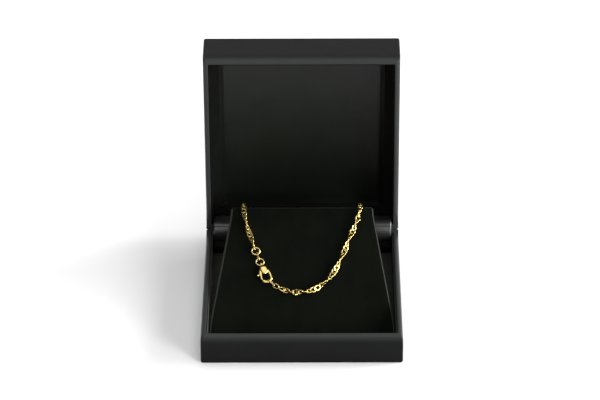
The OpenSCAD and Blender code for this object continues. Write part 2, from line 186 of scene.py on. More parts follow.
def square_ring(half_x, half_y, radius, z, side_points=24, corner_points=6):
    """A rounded rectangle at height z, anticlockwise from above."""
    points = []
    corners = [(1, 1), (-1, 1), (-1, -1), (1, -1)]
    for k, (sx, sy) in enumerate(corners):
        cx, cy = sx * (half_x - radius), sy * (half_y - radius)
        arc = [math.radians(90 * k + 90 * j / corner_points) for j in range(corner_points + 1)]
        points += [(cx + radius * math.cos(a), cy + radius * math.sin(a)) for a in arc]
        nx, ny = corners[(k + 1) % 4]
        start = np.array(points[-1])
        first = math.radians(90 * (k + 1))
        end = np.array([nx * (half_x - radius) + radius * math.cos(first),
                        ny * (half_y - radius) + radius * math.sin(first)])
        points += [tuple(start + (end - start) * j / side_points) for j in range(1, side_points)]
    return np.array([[x, y, z] for x, y in points])


def quarter(inset, z, run, rise, start, end, steps):
    """Points (inset, z) on an ellipse's arc about a centre, from one angle to another in degrees."""
    angles = [math.radians(start + (end - start) * k / steps) for k in range(steps + 1)]
    return [(inset + run * math.cos(a), z + rise * math.sin(a)) for a in angles]


def lid_place(points):
    """Moves points drawn for a closed lid, measured from the hinge, to the open lid."""
    p = np.array(points, float)
    return np.stack([p[:, 0], HINGE_Y + p[:, 2], BASE_H - p[:, 1]], axis=1)


def wire_loop(path, radius, side):
    """A closed loop of round wire along points; side is a vector across the wire at the first one."""
    path = np.array(path, float)
    ahead = np.roll(path, -1, axis=0) - np.roll(path, 1, axis=0)
    ahead /= np.linalg.norm(ahead, axis=1)[:, None]
    side = np.array(side)
    angles = np.arange(WIRE_LOOP_SIDES) * 2 * math.pi / WIRE_LOOP_SIDES
    rings = []
    for i in range(len(path)):
        side = side - (side @ ahead[i]) * ahead[i]
        side /= np.linalg.norm(side)
        other = np.cross(ahead[i], side)
        rings.append(path[i] + radius * (np.cos(angles)[:, None] * other + np.sin(angles)[:, None] * side))
    return loft(rings, True)


# Materials

def new_material(name, colour, roughness, metallic=0.0):
    """A material and its nodes, with the shader's own values set."""
    material = bpy.data.materials.new(name)
    material.use_nodes = True
    nodes, links = material.node_tree.nodes, material.node_tree.links
    shader = nodes["Principled BSDF"]
    shader.inputs["Base Color"].default_value = (*colour, 1)
    shader.inputs["Roughness"].default_value = roughness
    shader.inputs["Metallic"].default_value = metallic
    return material, nodes, links, shader


def object_space(nodes, links, scale=(1, 1, 1)):
    """Object coordinates in millimetres, stretched by scale."""
    where = nodes.new("ShaderNodeTexCoord")
    mapping = nodes.new("ShaderNodeMapping")
    mapping.inputs["Scale"].default_value = [s / MM for s in scale]
    links.new(where.outputs["Object"], mapping.inputs["Vector"])
    return mapping.outputs["Vector"]


def noise_node(nodes, links, space, scale, detail=3.0, roughness=0.55):
    """A noise texture, its scale in waves per millimetre."""
    texture = nodes.new("ShaderNodeTexNoise")
    texture.inputs["Scale"].default_value = scale
    texture.inputs["Detail"].default_value = detail
    texture.inputs["Roughness"].default_value = roughness
    links.new(space, texture.inputs["Vector"])
    return texture.outputs["Fac"]


def ramp_node(nodes, links, value, stops):
    """A colour ramp with (position, colour) stops."""
    ramp = nodes.new("ShaderNodeValToRGB")
    while len(ramp.color_ramp.elements) < len(stops):
        ramp.color_ramp.elements.new(0.5)
    for element, (position, colour) in zip(ramp.color_ramp.elements, stops):
        element.position = position
        element.color = (*colour, 1)
    links.new(value, ramp.inputs["Fac"])
    return ramp.outputs["Color"]


def range_node(nodes, links, value, low, high):
    """Maps 0 to 1 onto low to high."""
    mapped = nodes.new("ShaderNodeMapRange")
    mapped.inputs["To Min"].default_value = low
    mapped.inputs["To Max"].default_value = high
    links.new(value, mapped.inputs["Value"])
    return mapped.outputs["Result"]


def bump_node(nodes, links, height, distance, strength, normal=None):
    """A bump whose distance is in millimetres."""
    bump = nodes.new("ShaderNodeBump")
    bump.inputs["Strength"].default_value = strength
    bump.inputs["Distance"].default_value = distance * MM
    links.new(height, bump.inputs["Height"])
    if normal is not None:
        links.new(normal, bump.inputs["Normal"])
    return bump.outputs["Normal"]


def leatherette(name, axis, rim, fade):
    """Black leatherette: a fine pebbled grain over very slight waves, with uneven gloss. It has a painted
    highlight, a paler colour along the rim, which lies across an axis (0 to 2) at a level; the painted
    highlight fades out over a signed distance from there. Both are in millimetres."""
    material, nodes, links, shader = new_material(name, (0.0035, 0.0035, 0.0035), 0.33)
    space = object_space(nodes, links)
    grain = nodes.new("ShaderNodeTexVoronoi")
    grain.feature = "SMOOTH_F1"
    grain.inputs["Scale"].default_value = GRAINS_PER_MM
    grain.inputs["Smoothness"].default_value = 0.6
    links.new(space, grain.inputs["Vector"])
    waves = noise_node(nodes, links, space, 0.12, 2.0)
    first = bump_node(nodes, links, grain.outputs["Distance"], 0.035, 0.6)
    links.new(bump_node(nodes, links, waves, 0.25, 0.5, first), shader.inputs["Normal"])
    links.new(range_node(nodes, links, grain.outputs["Distance"], 0.28, 0.38), shader.inputs["Roughness"])
    cloudy = noise_node(nodes, links, space, 0.07, 3.0)
    dark = ramp_node(nodes, links, cloudy, LEATHERETTE_TONES)
    # Painted highlight: colour added along the rim, fading out over the given distance from it
    parts = nodes.new("ShaderNodeSeparateXYZ")
    links.new(space, parts.inputs["Vector"])
    near = nodes.new("ShaderNodeMapRange")
    near.inputs["From Min"].default_value = rim
    near.inputs["From Max"].default_value = rim + fade
    links.new(parts.outputs[axis], near.inputs["Value"])
    painted_highlight = ramp_node(nodes, links, near.outputs["Result"], RIM_PAINTED_HIGHLIGHT)
    total = nodes.new("ShaderNodeMixRGB")
    total.blend_type = "ADD"
    total.inputs["Fac"].default_value = 1.0
    links.new(dark, total.inputs["Color1"])
    links.new(painted_highlight, total.inputs["Color2"])
    links.new(total.outputs["Color"], shader.inputs["Base Color"])
    shader.inputs["Specular IOR Level"].default_value = 0.11
    return material


def satin(name, colour, roughness, specular):
    """Black satin: long threads across, a soft gloss and slow pulls in the cloth."""
    material, nodes, links, shader = new_material(name, colour, roughness)
    threads = noise_node(nodes, links, object_space(nodes, links, (0.35, 3.0, 3.0)), 2.2, 2.0)
    pulls = noise_node(nodes, links, object_space(nodes, links), 0.09, 2.0)
    first = bump_node(nodes, links, threads, 0.02, 0.6)
    links.new(bump_node(nodes, links, pulls, 0.5, 0.4, first), shader.inputs["Normal"])
    dark = tuple(c * 0.75 for c in colour)
    light = tuple(c * 1.25 for c in colour)
    links.new(ramp_node(nodes, links, threads, [(0.3, dark), (0.7, light)]), shader.inputs["Base Color"])
    links.new(range_node(nodes, links, pulls, roughness - 0.04, roughness + 0.06), shader.inputs["Roughness"])
    shader.inputs["Specular IOR Level"].default_value = specular
    return material


def velvet():
    """Black velvet: a dense short pile, brushed unevenly, with a faint sheen."""
    material, nodes, links, shader = new_material("velvet", (0.0045, 0.0055, 0.0038), 0.95)
    space = object_space(nodes, links)
    pile = noise_node(nodes, links, space, 5.0, 2.0, 0.7)
    brushed = noise_node(nodes, links, object_space(nodes, links, (1.0, 0.4, 0.4)), 0.12, 4.0, 0.6)
    tones = [(0.3, (0.0018, 0.0024, 0.0015)), (0.7, (0.0030, 0.0038, 0.0024))]
    links.new(ramp_node(nodes, links, brushed, tones), shader.inputs["Base Color"])
    links.new(bump_node(nodes, links, pile, 0.12, 0.9), shader.inputs["Normal"])
    shader.inputs["Specular IOR Level"].default_value = 0.03
    shader.inputs["Sheen Weight"].default_value = 0.06
    shader.inputs["Sheen Roughness"].default_value = 0.35
    shader.inputs["Sheen Tint"].default_value = (0.9, 1.0, 0.85, 1)
    return material


def velvet_painted_sheen():
    """The pad's rolled edge with a painted sheen: a paler colour that stands in for the light the pile
    catches there.
    """
    material, nodes, links, shader = new_material("velvet_painted_sheen", (0.016, 0.017, 0.014), 0.9)
    pile = noise_node(nodes, links, object_space(nodes, links), 4.0, 3.0, 0.7)
    links.new(ramp_node(nodes, links, pile, [(0.35, (0.018, 0.020, 0.016)), (0.7, (0.045, 0.048, 0.040))]),
              shader.inputs["Base Color"])
    links.new(bump_node(nodes, links, pile, 0.12, 0.9), shader.inputs["Normal"])
    shader.inputs["Specular IOR Level"].default_value = 0.1
    return material


def gold(name, roughness):
    """Polished yellow gold with faint polishing marks."""
    material, nodes, links, shader = new_material(name, (0.90, 0.60, 0.20), roughness, 1.0)
    space = object_space(nodes, links)
    marks = noise_node(nodes, links, space, 6.0, 3.0)
    tone = noise_node(nodes, links, space, 0.9, 2.0)
    links.new(ramp_node(nodes, links, tone, [(0.3, (0.58, 0.43, 0.135)), (0.7, (0.70, 0.54, 0.20))]),
              shader.inputs["Base Color"])
    links.new(range_node(nodes, links, marks, roughness * 0.7, roughness * 1.4), shader.inputs["Roughness"])
    links.new(bump_node(nodes, links, marks, 0.006, 0.5), shader.inputs["Normal"])
    return material


def flock(name, tone):
    """Black flocked lining: a fine even nap."""
    material, nodes, links, shader = new_material(name, (tone, tone * 1.06, tone * 0.92), 0.9)
    space = object_space(nodes, links)
    nap = noise_node(nodes, links, space, 6.0, 2.0, 0.7)
    patches = noise_node(nodes, links, space, 0.15, 3.0)
    dark = (tone * 0.8, tone * 0.86, tone * 0.74)
    light = (tone * 1.2, tone * 1.26, tone * 1.1)
    links.new(ramp_node(nodes, links, patches, [(0.3, dark), (0.7, light)]), shader.inputs["Base Color"])
    links.new(bump_node(nodes, links, nap, 0.08, 0.8), shader.inputs["Normal"])
    shader.inputs["Specular IOR Level"].default_value = 0.05
    return material


# The painted highlight added to the leatherette's colour, from the rim to where it ends
RIM_PAINTED_HIGHLIGHT = [(0.0, (0.023, 0.024, 0.024)), (0.2, (0.019, 0.020, 0.020)), (0.42, (0.011, 0.0115, 0.0115)),
                (0.68, (0.004, 0.0042, 0.0042)), (1.0, (0.0, 0.0, 0.0))]
RIM_HIGHLIGHT_FADE = 4
LEATHERETTE_TONES = [(0.3, (0.0026, 0.0028, 0.0028)), (0.75, (0.0038, 0.0040, 0.0039))]
GRAINS_PER_MM = 2.6

# Both leatherettes carry the painted highlight along their rims
BASE_LEATHERETTE = leatherette("base_leatherette", 2, BASE_H, -RIM_HIGHLIGHT_FADE)
LID_LEATHERETTE = leatherette("lid_leatherette", 1, HINGE_Y + LID_RIM, RIM_HIGHLIGHT_FADE)
FLOCK = flock("lid_flock", 0.0045)
# The tray's flock is about eight times lighter than the lid's: painted light that stands in for the light
# hardly reaching the wells beside the pad
TRAY_FLOCK_PAINTED_LIGHT = flock("tray_flock_painted_light", 0.035)
LINING_SATIN = satin("lining_satin", (0.0024, 0.0036, 0.0020), 0.33, 0.31)
HINGE_SATIN = satin("hinge_satin", (0.011, 0.0115, 0.0105), 0.36, 0.75)
VELVET = velvet()
VELVET_PAINTED_SHEEN = velvet_painted_sheen()
CHAIN_GOLD = gold("chain_gold", 0.17)
CLASP_GOLD = gold("clasp_gold", 0.12)


# The box

def case_profile(rim, height, panel):
    """The outside's and the inside's (inset, z) from the edge of the closed face to the rim, and back to
    that face's inside. rim and height are the rim's and the closed face's levels; panel is its thickness."""
    way = 1 if rim > height else -1
    outside = quarter(FACE_R, height + FACE_R * way, -FACE_R, -FACE_R * way, 90, 0, 5)
    deep = list(np.linspace(abs(rim - height) - FACE_CLEAR, PILLOW_DEEP, 3))
    deep += list(np.linspace(PILLOW_DEEP, RIM_DEEP, 7)[1:])
    outside += [(PILLOW_IN * max(0, 1 - d / PILLOW_DEEP) ** 2, rim - d * way) for d in deep]
    for a in np.radians(np.linspace(0, 90, 13)[1:]):
        d = RIM_DEEP * (1 - math.sin(a))
        outside.append((PILLOW_IN * (1 - d / PILLOW_DEEP) ** 2 + RIM_IN * (1 - math.cos(a)), rim - d * way))
    inside = quarter(WALL - RIM_INNER_R, rim - RIM_INNER_R * way, RIM_INNER_R, RIM_INNER_R * way, 90, 0, 4)
    inside += quarter(WALL + WELL_R, height + (panel + WELL_R) * way, -WELL_R, -WELL_R * way, 0, 90, 3)
    return outside, inside


def case_rings(outside, inside):
    """Rings round the case. Its outside is square towards the hinge, where base and lid meet."""
    rings = []
    for inset, z in outside:
        square = square_ring(BOX_HALF, BOX_HALF, CORNER_R, z)
        soft = square_ring(BOX_HALF - inset, BOX_HALF - inset, CORNER_R - inset * 0.3, z)
        share = np.clip((BOX_HALF - SQUARE_BACK - square[:, 1]) / SOFTENING, 0, 1)
        share = share * share * (3 - 2 * share)
        rings.append(square + (soft - square) * share[:, None])
    return rings + [square_ring(BOX_HALF - inset, BOX_HALF - inset, CORNER_IN_R, z) for inset, z in inside]


def base_case():
    """The tray of the box, in one skin."""
    verts, faces = loft(case_rings(*case_profile(BASE_H, 0.0, FLOOR_T)))
    make("base_case", verts, faces, BASE_LEATHERETTE, "box", ["base_shell"], even=True)


def lid_case():
    """The lid of the box, in one skin."""
    rings = case_rings(*case_profile(LID_RIM, LID_H, PANEL_T))
    verts, faces = loft([lid_place(r - np.array([0, BOX_HALF, 0])) for r in rings])
    make("lid_case", verts, faces, LID_LEATHERETTE, "lid", ["lid_shell"], even=True)


def spine():
    """The fold of leatherette behind the joint of base and lid, with rounded ends."""
    y, z = HINGE_Y + SPINE_BEHIND, BASE_H - SPINE_BELOW
    angles = np.radians(np.arange(SPINE_SIDES) * 360 / SPINE_SIDES)
    rings = []
    for share, thick in [(-1, 0.1), (-0.998, 0.7), (-0.99, 1), (0.99, 1), (0.998, 0.7), (1, 0.1)]:
        x = np.full(SPINE_SIDES, share * (BOX_HALF - 0.1))
        r = thick * SPINE_R
        rings.append(np.column_stack([x, y + r * np.cos(angles), z + r * np.sin(angles)]))
    verts, faces = loft(rings)
    make("spine", verts, faces, BASE_LEATHERETTE, "box", even=True)


def cut(piece, low, high):
    """Cuts a block between two corners, in millimetres, out of a piece."""
    low, high = np.array(low, float), np.array(high, float)
    corners = np.array([[x, y, z] for x in (0, 1) for y in (0, 1) for z in (0, 1)])
    quads = [(0, 1, 3, 2), (4, 6, 7, 5), (0, 4, 5, 1), (2, 3, 7, 6), (0, 2, 6, 4), (1, 5, 7, 3)]
    carve(piece, low + corners * (high - low), quads)


def carve(piece, verts, faces):
    """Takes a closed shape, in millimetres, out of a piece."""
    mesh = bpy.data.meshes.new("cutter")
    mesh.from_pydata((verts * MM).tolist(), [], faces)
    cutter = bpy.data.objects.new("cutter", mesh)
    bpy.context.scene.collection.objects.link(cutter)
    carving = piece.modifiers.new("carve", "BOOLEAN")
    carving.operation = "DIFFERENCE"
    carving.solver = "EXACT"
    carving.object = cutter
    apply_modifier(piece, carving)
    bpy.data.objects.remove(cutter)


def apply_modifier(piece, modifier):
    """Applies one modifier, with the others switched off meanwhile."""
    others = [m for m in piece.modifiers if m != modifier and m.show_viewport]
    for m in others:
        m.show_viewport = False
    bpy.context.view_layer.update()
    depsgraph = bpy.context.evaluated_depsgraph_get()
    made = bpy.data.meshes.new_from_object(piece.evaluated_get(depsgraph))
    piece.modifiers.remove(modifier)
    old = piece.data
    piece.data = made
    made.name = old.name
    for m in others:
        m.show_viewport = True


def card_edge(outer, level, way):
    """A card's rounded edge at a level, as (distance out, z) from its outside to its inside. way is 1 where
    the card comes up to that level, and -1 where it comes down to it."""
    half_t = CARD_T / 2
    return [(outer - half_t + half_t * math.cos(a), level - way * half_t + way * half_t * math.sin(a))
            for a in np.radians([0, 30, 60, 90, 120, 150, 180])]


def base_tray_lining():
    """Cloth covered card on the floor and three walls; the hinge covers the fourth."""
    outer = BOX_HALF - WALL - CARD_GAP
    inner = outer - CARD_T
    low, floor = FLOOR_T + CARD_GAP, FLOOR_T + CARD_GAP + CARD_T
    steps = [(outer, low)] + card_edge(outer, BASE_H - CARD_DROP, 1)
    steps += [(inner, floor + 0.4), (inner - 0.12, floor + 0.12), (inner - 0.4, floor)]
    verts, faces = loft([square_ring(h, h, CARD_CORNER, z) for h, z in steps])
    piece = make("tray_lining", verts, faces, TRAY_FLOCK_PAINTED_LIGHT, "box", ["base_lining"], even=True)
    cut(piece, [-inner + 0.01, inner - 0.3, floor + 0.01], [inner - 0.01, outer + 1, BASE_H])


def lid_inside():
    """Satin over card, with a padded slope that rolls softly into the panel along two sides. The walls and
    the start of the slopes are flocked."""
    outer = BOX_HALF - WALL - CARD_GAP
    inner = outer - CARD_T
    top = LID_H - PANEL_T - CARD_GAP
    under = top - CARD_T
    steps = [(outer, outer, top)] + [(x, x, z) for x, z in card_edge(outer, CARD_DROP, -1)]
    # Down the wall, then over the slope: a soft start, a slight swell and a soft end
    wall_end = under - COVE
    steps += [(inner, inner, z) for z in np.linspace(CARD_DROP + 1, wall_end - 0.8, 4)]
    for t in np.linspace(0, 1, 15):
        swell = COVE_SWELL * math.sin(math.pi * t)
        steps.append((inner - COVE * t - swell * 0.7, inner, wall_end + COVE * t - swell * 0.7))
    steps.append((inner - COVE - 1.2, inner, under + 0.02))
    rings = [square_ring(hx, hy, CARD_CORNER, z) - np.array([0, BOX_HALF, 0]) for hx, hy, z in steps]
    verts, faces = loft([lid_place(r) for r in rings])
    piece = make("lid_inside", verts, faces, LINING_SATIN, "lid", ["lid_lining"], even=True)
    piece.data.materials.append(FLOCK)
    # The last two faces are the hidden back, which is flocked too, and the panel
    flocked = [i < FLOCKED_ROWS * len(rings[0]) for i in range(len(faces))]
    flocked[-2] = True
    piece.data.polygons.foreach_set("material_index", [int(f) for f in flocked])
    # The satin of the hinge takes the lining's place along the lowest wall
    cut(piece, [-outer - 1, HINGE_Y - 1, BASE_H + WALL - 1],
        [outer + 1, HINGE_Y + LEAF_R + LEAF_FLANGE + 1, BASE_H + WALL + LINED + 0.01])


def leaf_line(middle, start, end, flange_from, flange_to, flange_y):
    """Points [y, z] along the middle of a curved leaf and its flange, measured from the hinge's axis."""
    line = [(middle * math.cos(a), middle * math.sin(a)) for a in np.radians(np.linspace(start, end, 22))]
    middle_y = flange_y + LEAF_T / 2
    flange = [(middle_y, z) for z in np.linspace(flange_from, flange_to, 6)]
    return np.array(line + flange)


def strip(name, line, place, half_length, body, node, wrinkle):
    """A thin band of satin that follows a line in the Y-Z plane, drawn out along X, with fine wrinkles."""
    ahead = np.gradient(line, axis=0)
    ahead /= np.linalg.norm(ahead, axis=1)[:, None]
    across = np.stack([-ahead[:, 1], ahead[:, 0]], axis=1)
    n = len(line)
    half = np.full(n, LEAF_T / 2)
    half[0] = half[-1] = LEAF_T / 5
    rings = []
    for x in np.linspace(-half_length, half_length, 140):
        shift = np.zeros(n)
        for share, along, over, seed in WRINKLES:
            wave = [noise.noise(Vector((x * along, k * over, seed))) for k in range(n)]
            shift += wrinkle * share * np.array(wave)
        outer = line + across * (half + shift)[:, None]
        inner = line - across * (half - shift)[:, None]
        loop = np.concatenate([outer, inner[::-1]])
        rings.append(np.column_stack([np.full(len(loop), x), loop]))
    verts, faces = loft(rings)
    make(name, place(verts), faces, HINGE_SATIN, body, [node], even=True)


def hinge_leaves():
    """Two satin covered leaves: the base's outside the lid's."""
    half_length = node_box("base_hinge_leaf")[1][0]
    flange_y = -WALL - CARD_GAP - LEAF_T
    middle = LEAF_R - LEAF_T / 2
    meets = 360 - math.degrees(math.acos((flange_y + LEAF_T / 2) / middle))
    foot = middle * math.sin(math.radians(meets))
    line = leaf_line(middle, BASE_LEAF_FROM, meets, foot - 0.3, foot - LEAF_FLANGE, flange_y)
    strip("hinge_roll", line, lambda v: v + np.array([0, HINGE_Y, BASE_H]), half_length,
          "box", "base_hinge_leaf", 0.12)
    middle = LEAF_R - LEAF_T - LEAF_GAP - LEAF_T / 2
    meets = math.degrees(math.acos((flange_y + LEAF_T / 2) / middle))
    head = middle * math.sin(math.radians(meets))
    line = leaf_line(middle, LID_LEAF_FROM, meets, head + 0.3, head + LEAF_FLANGE, flange_y)
    strip("lid_hinge_roll", line, lid_place, half_length, "lid", "lid_hinge_leaf", 0.06)


# The pad

def pad_half_width(s):
    """Half the board's width at a share s of the way up, its corners eased."""
    shares = [-0.2, 0.0, 0.17, 0.5, 0.97, 1.4]
    halves = [PAD_HALF, PAD_HALF, PAD_HALF, PAD_MID_HALF, PAD_TOP_HALF, PAD_TOP_HALF]
    spread = np.linspace(-0.05, 0.05, 7)
    return float(np.mean(np.interp(s + spread, shares, halves)))


def board_ring(centre, across, half_width, half_t, points=30):
    """A rounded slab's outline: along X and across, about a centre."""
    r = half_t * PAD_ROUND
    flat_x, flat_n = half_width - r, half_t - r
    loop = []
    for k, (sx, sn) in enumerate([(1, 1), (-1, 1), (-1, -1), (1, -1)]):
        loop += [(sx * flat_x + r * math.cos(a), sn * flat_n + r * math.sin(a))
                 for a in np.radians(90 * k + np.linspace(0, 90, 7))]
        if k == 0:
            loop += [(flat_x - 2 * flat_x * j / points, half_t) for j in range(1, points)]
        if k == 2:
            loop += [(-flat_x + 2 * flat_x * j / points, -half_t) for j in range(1, points)]
    return np.array([centre + np.array([x, 0, 0]) + across * v for x, v in loop])


def rounded_end(station, neighbour, half_t):
    """The rings that round off a slab's end, from its tip inwards."""
    centre, across, half_width = station
    inwards = (neighbour[0] - centre) / np.linalg.norm(neighbour[0] - centre)
    rings = []
    for share in END_SHARES:
        back = half_t * (1 - math.sqrt(1 - (1 - share) ** 2))
        narrower = half_width - END_IN * (1 - share)
        rings.append(board_ring(centre + inwards * back, across, narrower, half_t * share))
    return rings


def velvet_slab(stations):
    """A skin through (centre, across, half width) stations, with both ends rounded."""
    half_t = PAD_T / 2
    rings = rounded_end(stations[0], stations[1], half_t)
    rings += [board_ring(centre, across, half_width, half_t) for centre, across, half_width in stations[1:-1]]
    rings += rounded_end(stations[-1], stations[-2], half_t)[::-1]
    return loft(rings)


def pad():
    """The board, its round fold and lip, and the flap behind that props it up."""
    half_t = PAD_T / 2
    start = np.array([0, PAD_FRONT, PAD_SEAT]) + PAD_UP * (half_t * math.tan(SLOPE)) + PAD_NORMAL * half_t
    fold = np.array([0, FOLD_Y, FOLD_Z])
    length = np.linalg.norm(fold + PAD_NORMAL * half_t - start)
    stations = []
    for s in np.linspace(0, 1, 61)[:-1]:
        stations.append((start + PAD_UP * length * s, PAD_NORMAL, pad_half_width(s)))
    for a in np.linspace(math.pi / 2 + SLOPE, 0, 13):
        across = np.array([0, math.cos(a), math.sin(a)])
        stations.append((fold + across * half_t, across, PAD_TOP_HALF))
    behind = np.array([0, 1.0, 0])
    for d in np.linspace(0.6, PAD_LIP, 5):
        stations.append((fold + behind * half_t - np.array([0, 0, d]), behind, PAD_TOP_HALF))
    flap = []
    way = np.array([0, -FLAP_LEAN, PAD_SEAT - FOLD_Z])
    across = np.cross(np.array([1.0, 0, 0]), way / np.linalg.norm(way))
    for t in np.linspace(0.0, 1, 24):
        flap.append((fold + np.array([0, half_t, 0]) + way * t, -across, FLAP_HALF))
    verts, faces = join(velvet_slab(stations), velvet_slab(flap))
    piece = make("velvet_pad", verts, faces, VELVET, "box", ["display_pad"])
    piece.data.materials.append(VELVET_PAINTED_SHEEN)
    # Painted sheen: faces along the rolled edges take the paler material
    around = len(board_ring(fold, behind, 1.0, half_t))
    for face in piece.data.polygons:
        if face.index < around * SHEEN_RINGS and face.index % around in SHEEN_COLUMNS:
            face.material_index = 1


# The chain

LINK_REACH = 1.42     # from a link's middle to the middle of its wire, along the chain
LINK_SPREAD = 1.02    # the same, across the chain
LINK_POWER = 2.4      # 2 makes the links oval, more makes their sides straighter
WIRE_WIDE = 0.32      # half the wire's width in the link's plane
WIRE_THICK = 0.21     # and half its thickness
CROSSING_AT = 0.72    # where two links pass through each other, as a share of LINK_REACH
CROSSING = math.radians(29)  # the angle between two links there
LINK_SEGMENTS = 44
WIRE_SIDES = 14
WIRE_POWER = 0.75     # less makes the wire's section squarer

# How far the ribbon of links has turned from facing the camera, in half turns, at links along the
# chain. It is seen edge on at the halves
TURNS_LEFT = [(-0.5, 0.3), (0.64, 0.5), (7.38, 1.5), (11.4, 2.0), (16.0, 2.0)]
TURNS_RIGHT = [(134.5, 0.0), (138.7, 0.0), (140.7, 0.5), (143.5, 1.5), (148.7, 2.5), (154.4, 3.5),
               (161.3, 4.5), (167.4, 5.5), (170.07, 6.5), (172.6, 7.6)]
HIDDEN_TURNS = 22     # half turns of the stretch behind and under the pad, between those two


def ring_middles(node):
    """The middles of the loose rings of a node, in millimetres, from the frame's own mesh."""
    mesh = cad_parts[node].data
    points = np.zeros(len(mesh.vertices) * 3, np.float32)
    mesh.vertices.foreach_get("co", points)
    points = points.reshape(-1, 3).astype(float) / MM
    edges = np.zeros(len(mesh.edges) * 2, np.int64)
    mesh.edges.foreach_get("vertices", edges)
    edges = edges.reshape(-1, 2)
    label = np.arange(len(points))
    while True:
        low = np.minimum(label[edges[:, 0]], label[edges[:, 1]])
        fresh = label.copy()
        np.minimum.at(fresh, edges[:, 0], low)
        np.minimum.at(fresh, edges[:, 1], low)
        fresh = fresh[fresh]
        if np.array_equal(fresh, label):
            break
        label = fresh
    middles = []
    for k in np.unique(label):
        ring = points[label == k]
        middles.append((ring.max(axis=0) + ring.min(axis=0)) / 2)
    return np.array(middles)


def in_order(points, start):
    """Puts points in order from the one nearest to start, each followed by its nearest neighbour."""
    left = list(range(len(points)))
    at = min(left, key=lambda k: np.linalg.norm(points[k] - start))
    order = []
    while True:
        order.append(at)
        left.remove(at)
        if not left:
            return order
        here = at
        at = min(left, key=lambda k: np.linalg.norm(points[k] - points[here]))


def unit(v):
    """A vector of length 1 that points the same way."""
    return v / np.linalg.norm(v)


def chain_frames(middles):
    """Each link's direction, and a side vector carried along without twisting."""
    n = len(middles)
    ahead = np.array([unit(middles[min(i + 1, n - 1)] - middles[max(i - 1, 0)]) for i in range(n)])
    sides = []
    side = PAD_NORMAL
    for i in range(n):
        side = unit(side - (side @ ahead[i]) * ahead[i])
        sides.append(side)
    return ahead, np.array(sides)


def angle_about(ahead, zero, vector):
    """The angle of a vector about a direction, from the zero vector."""
    return math.atan2(vector @ np.cross(ahead, zero), vector @ zero)


def super_round(angle):
    """Cosine and sine of an angle on a rounded square's outline."""
    c, d = math.cos(angle), math.sin(angle)
    return (math.copysign(abs(c) ** (2 / LINK_POWER), c), math.copysign(abs(d) ** (2 / LINK_POWER), d))


def link_outline():
    """An even run of points round a flat link."""
    fine = np.array([super_round(2 * math.pi * k / 720) for k in range(720)]) * [LINK_REACH, LINK_SPREAD]
    gaps = np.linalg.norm(np.roll(fine, -1, axis=0) - fine, axis=1)
    run = np.concatenate([[0], np.cumsum(gaps)])
    fine = np.concatenate([fine, fine[:1]])
    at = np.arange(LINK_SEGMENTS) * run[-1] / LINK_SEGMENTS
    return np.stack([np.interp(at, run, fine[:, 0]), np.interp(at, run, fine[:, 1])], axis=1)


def link_shape(outline, middle, ahead, normal, start_bend, end_bend):
    """One closed link: flattened wire, twisted about the link's length so that its ends pass through
    its neighbours while the links lie as one twisted ribbon."""
    across = np.cross(normal, ahead)
    x, y = outline[:, 0], outline[:, 1]
    turn = np.interp(x, [-LINK_REACH, LINK_REACH], [start_bend, -end_bend])
    local = np.stack([x, y * np.cos(turn), y * np.sin(turn)], axis=1)
    run = np.roll(local, -1, axis=0) - np.roll(local, 1, axis=0)
    run /= np.linalg.norm(run, axis=1)[:, None]
    face = np.stack([np.zeros(len(x)), -np.sin(turn), np.cos(turn)], axis=1)
    face -= (face * run).sum(axis=1)[:, None] * run
    face /= np.linalg.norm(face, axis=1)[:, None]
    out = np.cross(run, face)
    angles = (np.arange(WIRE_SIDES) + 0.5) * 2 * math.pi / WIRE_SIDES
    c, d = np.cos(angles), np.sin(angles)
    wide = np.sign(c) * np.abs(c) ** WIRE_POWER * WIRE_WIDE
    thick = np.sign(d) * np.abs(d) ** WIRE_POWER * WIRE_THICK
    rings = []
    for k in range(len(x)):
        ring = local[k] + wide[:, None] * out[k] + thick[:, None] * face[k]
        rings.append(middle + ring[:, :1] * ahead + ring[:, 1:2] * across + ring[:, 2:] * normal)
    return loft(rings, True)


def chain_angles(middles, ahead, sides, camera):
    """The angle of each link's flat face about the chain, from the side vector that is carried along."""
    n = len(middles)
    view = np.unwrap([angle_about(ahead[i], sides[i], unit(camera - middles[i])) for i in range(n)])
    left_at, left_turns = np.array(TURNS_LEFT).T
    right_at, right_turns = np.array(TURNS_RIGHT).T
    first_hidden, last_hidden = int(left_at[-1]) + 1, int(right_at[0])
    angles = np.zeros(n)
    for i in range(first_hidden):
        angles[i] = view[i] + math.pi * smooth_steps(i, left_at, left_turns)
    right = [view[i] + math.pi * smooth_steps(i, right_at, right_turns) for i in range(last_hidden, n)]
    # Whole half turns more, so that the hidden stretch twists as the rest does
    start = angles[first_hidden - 1]
    more = HIDDEN_TURNS + round((start - right[0]) / math.pi)
    angles[last_hidden:] = np.array(right) + math.pi * more
    angles[first_hidden:last_hidden] = np.interp(
        np.arange(first_hidden, last_hidden), [first_hidden - 1, last_hidden], [start, angles[last_hidden]])
    return angles


def smooth_steps(i, at, values):
    """Between given values, eased a little at each."""
    return float(np.mean(np.interp(i + np.linspace(-0.8, 0.8, 9), at, values)))


